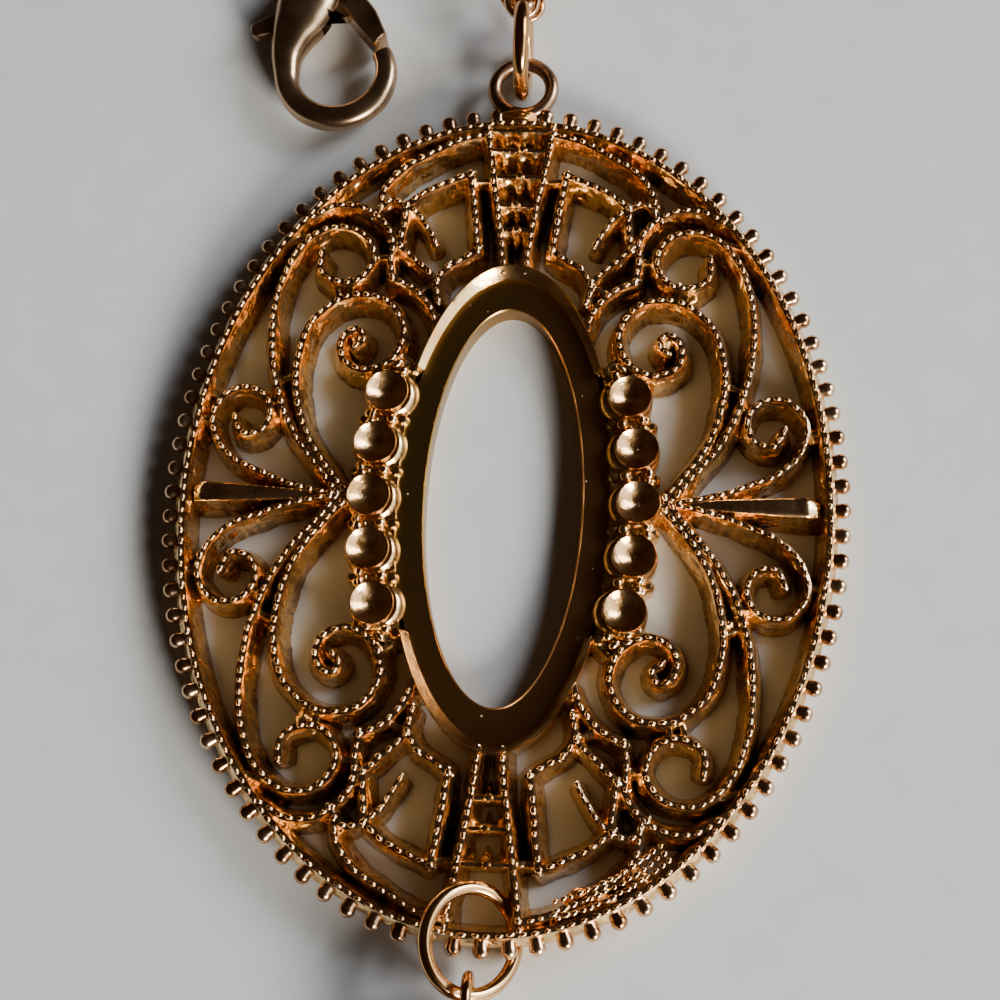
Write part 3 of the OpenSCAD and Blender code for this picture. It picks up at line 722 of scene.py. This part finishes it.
def spikes():
    """Side spikes: flat-topped round bars that widen towards the rim on drafted walls and end in a bevel.
    Columns of the table: x, half width of the bar, half width of the foot, height of its top."""
    table = np.array([(11.2, 0.14, 0.32, 1.9), (11.6, 0.22, 0.44, 2.15), (13, 0.32, 0.56, 2.3),
                      (15, 0.44, 0.76, 2.4), (17, 0.56, 0.96, 2.45), (19.8, 0.72, 1.24, 2.5),
                      (20.15, 0.72, 1.26, 2.44), (20.85, 0.5, 1.2, 1.85), (20.95, 0.6, 1.2, 1.2),
                      (21.3, 0.6, 1.1, 1.1)])
    x, half, foot, top = table.T[:, :, None]
    a = np.radians(np.linspace(0, 180, 13))[None]
    y = np.concatenate([foot, half * np.cos(a), -foot], 1)
    z = np.concatenate([0 * foot, top - 0.5 * half + 0.5 * half * np.sin(a) ** 0.7, 0 * foot], 1)
    one = capped(np.stack([np.broadcast_to(x, y.shape), y, z], -1))
    return join([one, mirrored(one, -1, 1)])


def cross_bar(y, half):
    """Bar between the ladder's posts: steep on its far side, and on the near one a slope, down to a foot
    1 mm out, which a cosine draws into four soft pleats."""
    x = np.linspace(-half, half, 31)
    pleat = 1 + 0.4 * np.cos(x / half * 4 * math.pi)
    reach = np.array([0.3, 0.22, 0.12, -0.12, -0.22, -0.5, -0.78, -1.0])
    pleated = np.array([0, 0, 0, 0, 0, 0.8, 1, 1])
    z = np.array([0.1, 2.15, 2.3, 2.3, 2.15, 1.5, 0.8, 0.1])
    off = reach[None] * (1 + pleated[None] * (pleat[:, None] - 1))
    return capped(np.stack([np.broadcast_to(x[:, None], off.shape), y + off,
                            np.broadcast_to(z[None], off.shape)], -1))


def post_gap(y):
    """Half the distance between the ladder's posts: 0.8 mm at y 16.4, growing evenly towards the rim."""
    return 0.8 + (y - 16.4) * 0.138


def ladder():
    """Pleated bars between the ladder's posts, with one under the rim, and the bars' beads."""
    tops = [y for y, _ in BARS]
    up = [cross_bar(y, post_gap(y)) for y in tops + [RIM_BAR]]
    down = [mirrored(cross_bar(y, post_gap(y)), 1, -1) for y in tops[1:]]
    bead = np.array([(0, 0.26), (0.2, 0.2), (0.31, 0.04), (0.33, -0.1), (0.2, -0.3), (0, -0.34)])
    at = [(x, y) for y, x in BARS] + [(x, -y) for y, x in BARS[1:]]
    return join(up + down), repeat(lathe(bead, 14), level(np.array(at), RIM_BEAD_Z))


def claws():
    """Small lathe shapes, sized by their tables' radius and height: a sloping plate under each cup, small
    ones between the cups at the seat and outside, and domed prongs. Columns: x, y, radius, height."""
    under_cups = [(x - 0.28, y, 1.86, 2.45) for x, y in CUPS]
    between = [(7.3, 1.84, 0.52, 2.3), (7.08, 5.5, 0.52, 2.3), (6.55, 9.2, 0.52, 2.3),
               (10.0, 1.84, 0.42, 2.0), (9.75, 5.5, 0.42, 2.0)]
    plate = np.array([(0, 0), (1, 0), (1, 0.7), (0.97, 0.745), (0.8, 0.94), (0.74, 0.96), (0.73, 0.8),
                      (0, 0.8)])
    disc = np.array([(0, 0), (1, 0), (1, 0.76), (0.9, 0.84), (0.55, 0.96), (0, 1.0)])
    dome = np.array([(0, 0), (1, 0), (1, 0.84), (0.87, 0.92), (0.5, 0.98), (0, 1)])
    parts = []
    for spots, profile, turns in ((under_cups, plate, 40), (between, disc, 20), (PRONGS, dome, 16)):
        table = both_sides(spots)
        parts.append(repeat(lathe(profile[::-1], turns), level(table[:, :2], 0), sizes=table[:, [2, 2, 3]]))
    return join(parts)


def build_medallion():
    """The medallion's pieces, which together stand for its one casting."""
    random = np.random.default_rng(7)
    rungs, rung_beads = ladder()
    bail = placed(hoop(2.05, 1.0), at=(0, 31, PEG_Z))
    solder = join([lump(at, size, 20 + k) for k, (at, size) in enumerate(SOLDER_AT)])
    # Columns: name, shape, material, and the angle under which its edges are smooth
    pieces = [
        ("openwork_casting", join([openwork(random), rim(), rungs, cup_web()]), CAST_GOLD, SHARP),
        ("strip_milgrain", milgrain(strip_rows(), random), BEAD_GOLD, BEAD_SHARP),
        ("rim_milgrain", milgrain([rim_row()] + flooded_rows(), random), BEAD_GOLD, BEAD_SHARP),
        ("cup_milgrain", milgrain(cup_rows(), random, 1.6), BEAD_GOLD, BEAD_SHARP),
        ("rim_pegs", pegs(), PEG_GOLD, SHARP),
        ("bezel_wall", bezel(), BEZEL_GOLD, BEVEL_SHARP),
        ("bezel_ledge", ledge(), LEDGE, SHARP),
        ("bezel_claws", join([claws(), rung_beads]), BEZEL_GOLD, SHARP),
        ("dished_cups", cups(), CUP_GOLD, SHARP),
        ("side_spikes", spikes(), CAST_GOLD, SHARP),
        ("bail_loop", bail, BAIL_GOLD, SHARP),
        ("solder_joints", solder, SOLDER, SHARP),
    ]
    for name, part, material, sharp in pieces:
        piece(name, part, material, ["medallion"], sharp=sharp)


build_medallion()


# Rings
# Turns a ring in the plan to stand across the medallion's middle line
UPRIGHT = np.array([[0.0, 0, 1], [1, 0, 0], [0, 1, 0]])
JUMP_R = 3.15
TOP_RING = np.array([0, 33.1, 3.7])


def build_rings():
    """Jump rings: round wire along a circle. The top one stands through the bail and has a cut, and the
    bottom one leans."""
    cut_ring = sweep(circle(JUMP_R, 80, 60, 344), 0.55, 0.55, 16, dome=0.12)
    top = placed(cut_ring, UPRIGHT, TOP_RING)
    low = placed(hoop(3.2, 0.9, 80), turned("y", 33), (-0.58, -28.32, 2.35))
    end = placed(hoop(2.3, 0.9), at=(14.8, 45.4, 0.45))
    for name, ring in (("top_jump_ring", top), ("bottom_jump_ring", low), ("end_ring", end)):
        piece(name + "_wire", ring, RING_GOLD, [name])


build_rings()


# Clasp, in its own plan with the hook's centre at the origin and its tail along +Y
CLASP_AT = np.array([-13.7, 32.2, 1.6])
CLASP_TURN = turned("z", 12.7)
HOOK_R = 3.65
RIVET = np.array([0.4, 6.4])
# The body's middle line above the hook. Columns: x, y, half width, half height.
BODY = [(-3.6, 0.6, 0.93, 0.95), (-3.4, 2, 1.12, 1.1), (-2.75, 3.6, 1.55, 1.38), (-1.75, 5.2, 2.1, 1.56),
        (-0.95, 6.7, 2.3, 1.56), (-0.4, 8, 1.95, 1.3), (-0.1, 9, 1.5, 0.95), (0, 9.8, 1.1, 0.62)]


def on_necklace(part):
    """A part of the clasp at its place on the necklace."""
    return placed(part, CLASP_TURN, CLASP_AT)


def clasp_body():
    """One smooth cast body, whose rounded section runs from the hook's slim tip round the bottom and swells
    up the left side."""
    turn = circle(HOOK_R, 40, 14, -194)
    rows = np.array(BODY)
    tip = np.linspace(0, 1, len(turn))
    width = np.concatenate([0.74 + 0.14 * np.minimum(tip * 3, 1), rows[:, 2]])
    height = np.concatenate([0.74 + 0.16 * tip, rows[:, 3]])
    both = through(np.column_stack([np.vstack([turn, rows[:, :2]]), width, height]), 0.22)
    return sweep(both[:, :2], both[:, 2], both[:, 3], 32, power=2.5, dome=0.5)


def lever_room():
    """What is cut from the body for the lever: a level slot through it, and the gate's room."""
    slot = slab([(-6, 8.3), (3.2, 8.3), (3.2, 3.6), (-6, 3.6)], -0.47, 0.47, 0.01)
    edge = RIVET + circle(1.57, 14, 38, -138)
    gate = slab(np.vstack([edge, [(0.3, 3.4), (1.6, 2.6), (8, 2), (8, 9)]]), -3, 3, 0.01)
    return slot, gate


def eye_and_rivet():
    """Flat eye at the tail with its neck, and the rivet, a turned pin with low domed ends."""
    eye = placed(sweep(circle(1.25, 40), 0.35, 0.4, 16, closed=True, power=3), at=(0, 10.8, 0))
    neck = slab([(-0.95, 10.05), (0.95, 10.05), (1.1, 9.2), (-1.1, 9.2)], -0.45, 0.45, 0.08)
    pin = lathe(np.array([(0, 1.62), (0.3, 1.6), (0.46, 1.52), (0.5, 1.4), (0.5, -1.4), (0.46, -1.52),
                          (0, -1.6)]))
    return join([eye, neck, placed(pin, at=(*RIVET, 0))])


def lever_plate():
    """Flat sprung lever: a thin plate with the thumb tab, through the slot, and the thicker gate."""
    tab = np.array([-5.1, 4.7]) + circle(0.6, 12, 100, 170)
    thumb = np.vstack([[(0.4, 7.4), (-3, 5.95)], tab,
                       [(-3, 4.2), (0.4, 5.3), (1.4, 4.2), (3.1, 4.2), (2.4, 6.4), (1.2, 6.9)]])
    gate = np.vstack([RIVET + circle(1.69, 8, 8, -66), [(2.05, 3.35)], RIVET + circle(5.76, 4, -62, 12),
                      [(3.66, 4.1), (2.95, 5.7)]])
    return join([slab(thumb, -0.4, 0.4, 0.08), slab(gate, -1, 1, 0.14)])


def build_clasp():
    """Lobster clasp: the body, cut for the lever, with its eye and rivet, the lever on its own body with a
    hole for the rivet, and the ring through the eye."""
    body = piece("clasp_casting", on_necklace(clasp_body()), CLASP_BRONZE, ["clasp_body"])
    cut(body, *[on_necklace(tool) for tool in lever_room()])
    piece("clasp_eye_and_rivet", on_necklace(eye_and_rivet()), CLASP_BRONZE, ["clasp_body"],
          sharp=50)
    lever = piece("clasp_lever_plate", on_necklace(lever_plate()), CLASP_BRONZE,
                  ["clasp_lever"], body="lever")
    hole = lathe(np.array([(0, 2), (0.53, 2), (0.53, -2), (0, -2)]))
    cut(lever, on_necklace(placed(hole, at=(*RIVET, 0))))
    ring = placed(hoop(1.8, 0.6, 48, 12), turned("y", 45), (0, 12.65, 0))
    piece("clasp_ring_wire", on_necklace(ring), RING_GOLD, ["clasp_ring"])


build_clasp()


# Chain, on the same route as the CAD model's. Columns: x, y, height above where a link lies on the table.
LOBE = [(-1.5, 38.2, 3), (-2.4, 41, 1.2), (-3, 45, 0), (-4, 55, 0), (-5, 75, 0), (-5, 95, 0),
        (-6, 115, 0), (-8, 135, 0), (-15, 153, 0), (-30, 164, 0), (-48, 162, 0), (-60, 148, 0),
        (-64, 128, 0), (-62, 108, 0), (-55, 88, 0), (-44, 71, 0), (-30, 57.5, 0)]
# A link's radius, wire and distance from the next, and its turn about the chain in degrees
LINK_R, LINK_WIRE, LINK_PITCH, LINK_ROLL = 1.05, 0.5, 1.6, 45.0
# Height of a link's middle where the chain lies on the table, and the least that it may be
LINK_Z, LINK_LEAST_Z = 1.15, 1.0
# Columns: name, sign of x, degrees that the first link is turned round the jump ring, last link's place.
CHAINS = [("left", 1, 24, (-16.99, 46.78, 1.35)), ("right", -1, 5, (16.88, 47.05, 1.0))]


def links(line, shape, random):
    """One link at each point of a line in space, turned about the line by the roll to one side and the
    other in turn, so that each passes through the next."""
    t = np.gradient(line, axis=0)
    t /= np.linalg.norm(t, axis=1)[:, None]
    side = np.cross(UP, t)
    side /= np.linalg.norm(side, axis=1)[:, None]
    over = np.cross(t, side)
    a = np.radians(LINK_ROLL * (-1.0) ** np.arange(len(line)) + random.normal(0, 3, len(line)))[:, None]
    normal = over * np.cos(a) + side * np.sin(a)
    return repeat(shape, line, np.stack([t, np.cross(normal, t), normal], -1))


def build_chain():
    """Cable chain of round links, 2.6 mm across: the first links go round the jump ring, and the last hold
    the clasp's ring and the end ring."""
    random = np.random.default_rng(11)
    link = hoop(LINK_R, LINK_WIRE, 14, 6)
    for name, sign, tilt, last in CHAINS:
        on_ring = turned("x", tilt)
        first = TOP_RING + on_ring @ np.array([-0.15 * sign, JUMP_R + 0.1, 0])
        route = np.array(LOBE) * [sign, 1, 1] + [0, 0, LINK_Z]
        line = through(np.vstack([first, route, last]), LINK_PITCH)
        line[:, 2] = np.maximum(line[:, 2], LINK_LEAST_Z)
        run = links(line[1:], link, random)
        piece("chain_links_" + name, join([placed(link, on_ring, first), run]), CHAIN_GOLD,
              ["chain_" + name, name + "_link"], sharp=BEAD_SHARP)


build_chain()


# Tassel. The same places as the CAD model's.
LOOP_AT = np.array([-0.6, -31.97, 2.7])
CAP_TOP, CAP_R, CAP_L = -33.4, 3.4, 8.0
LOCKS, STRAND_L = 9, 62.0
# How far the outermost strand's middle lies from the tassel's, at the cap's mouth and at the free ends
MOUTH_SPREAD, END_SPREAD = 1.9, 7.9
# Strands start this far inside the mouth, and the outermost ones end this much higher than the middle one
INSIDE, ROUNDED = 1.2, 2.5
# Distance between the layers at the mouth, the lower one's height on the table, and the step to the upper
LAYERS_APART, LAYER_Z, LAYER_STEP = 2.4, 0.62, 0.8


def tassel_line(u, layer, wave):
    """Middle line of one strand: it leaves the cap's mouth at its share u of the width, fans out and
    settles on the table in its layer, swaying a little. It falls to the table over its first quarter, on a
    cubic that starts and ends level."""
    t = np.linspace(0, 1, 60)
    fall = np.clip(t * 4, 0, 1)
    fall = fall * fall * (3 - 2 * fall)
    sway = 0.3 * np.sin(9 * t + wave) * t
    x = LOOP_AT[0] + u * (MOUTH_SPREAD + (END_SPREAD - MOUTH_SPREAD) * t) + sway
    y = CAP_TOP - CAP_L + INSIDE - t * (STRAND_L + 0.2 - ROUNDED * u * u)
    mouth = CAP_R + (layer - 0.5) * LAYERS_APART * math.sqrt(1 - 0.7 * u * u)
    z = mouth + (LAYER_Z + LAYER_STEP * layer - mouth) * fall
    return np.stack([x, y, z], 1)


def tassel_cap():
    """Cap with its loop: a bell-shaped lathe profile, open below, and a ring of wire on top."""
    profile = np.array([(0, 0), (1.02, 0), (1.1, 0.08), (1.18, 0.6), (1.3, 1), (1.7, 1.55), (2.1, 2.2),
                        (2.5, 3), (2.9, 4), (3.18, 6), (3.38, 7.7), (3.36, 7.92), (3.2, 8),
                        (2.98, 7.95), (2.9, 7.7), (2.6, 5), (2.2, 4.4), (0, 4.4)])
    # lying along -Y: the profile's height to -Y
    lying = np.array([[1.0, 0, 0], [0, 0, -1], [0, 1, 0]])
    cap = placed(lathe(profile, 48), lying, (LOOP_AT[0], CAP_TOP, CAP_R))
    return join([cap, placed(hoop(1.6, 0.7, 48), turned("y", 90), LOOP_AT)])


def tassel_chains():
    """Eighteen fine chains in two layers along the CAD model's locks. Some are a link shorter."""
    random = np.random.default_rng(5)
    link = hoop(0.6, 0.36, 8, 5)
    parts = []
    for k in range(2 * LOCKS):
        u = 2 * (k // 2 + 0.5 * (k % 2) - 0.25) / (LOCKS - 1) - 1
        line = evenly(tassel_line(np.clip(u, -1, 1), k % 2, random.uniform(0, 6.28)), 0.86)
        parts.append(links(line[:len(line) - random.integers(0, 2)], link, random))
    return join(parts)


def build_tassel():
    """The cap, and the chains that hang from it."""
    piece("tassel_cap_bell", tassel_cap(), RING_GOLD, ["tassel_cap"])
    piece("tassel_chains", tassel_chains(), CHAIN_GOLD, ["tassel_strands"],
          sharp=BEAD_SHARP)


build_tassel()


# Table and light, in metres
TABLE_HALF = 0.8
LIT_POINT = np.array([0, -0.03, 0])


def floor():
    """Square table top at height 0."""
    s = TABLE_HALF
    mesh = bpy.data.meshes.new("table_top")
    mesh.from_pydata([(-s, -s, 0), (s, -s, 0), (s, s, 0), (-s, s, 0)], [], [(0, 1, 2, 3)])
    mesh.materials.append(TABLE)
    obj = show("table_top", mesh)


def softbox(name, place, size, power, tint):
    """Rectangular studio light of a width and a height, turned to the medallion with its width level."""
    data = bpy.data.lights.new(name, "AREA")
    data.shape = "RECTANGLE"
    data.size, data.size_y = size
    data.energy = power
    data.color = linear(tint)[:3]
    aim = LIT_POINT - np.array(place)
    aim = aim / np.linalg.norm(aim)
    right = np.cross(aim, UP)
    right /= np.linalg.norm(right)
    stand(show(name, data), right, np.cross(right, aim), place)


def light():
    """A wide window at the right, a smaller one to its upper left, a warmer lamp at the lower right, and
    the room."""
    world = bpy.data.worlds.new("studio")
    bpy.context.scene.world = world
    world.use_nodes = True
    tree = world.node_tree
    room = tree.nodes["Background"]
    room.inputs[0].default_value = linear("#A8806A")
    room.inputs[1].default_value = 0.06
    # the camera sees a pale wall beyond the table, and the metal reflects the dim brown room
    backdrop = add(tree, "Background", {"Color": linear("#C9CBCA"), "Strength": 0.6})
    seen = add(tree, "LightPath").outputs["Is Camera Ray"]
    both = add(tree, "MixShader", i0=seen, i1=room, i2=backdrop)
    tree.links.new(both.outputs[0], tree.nodes["World Output"].inputs[0])
    softbox("wide_window", (0.95, 0.05, 0.5), (1.5, 0.6), 8.2, "#F4F7FC")
    softbox("window_softbox", (0.85, 0.4, 0.5), (0.45, 0.4), 9.5, "#F4F7FC")
    softbox("right_softbox", (0.6, -0.8, 0.38), (0.4, 0.26), 21.0, "#FFF8F0")


floor()
light()
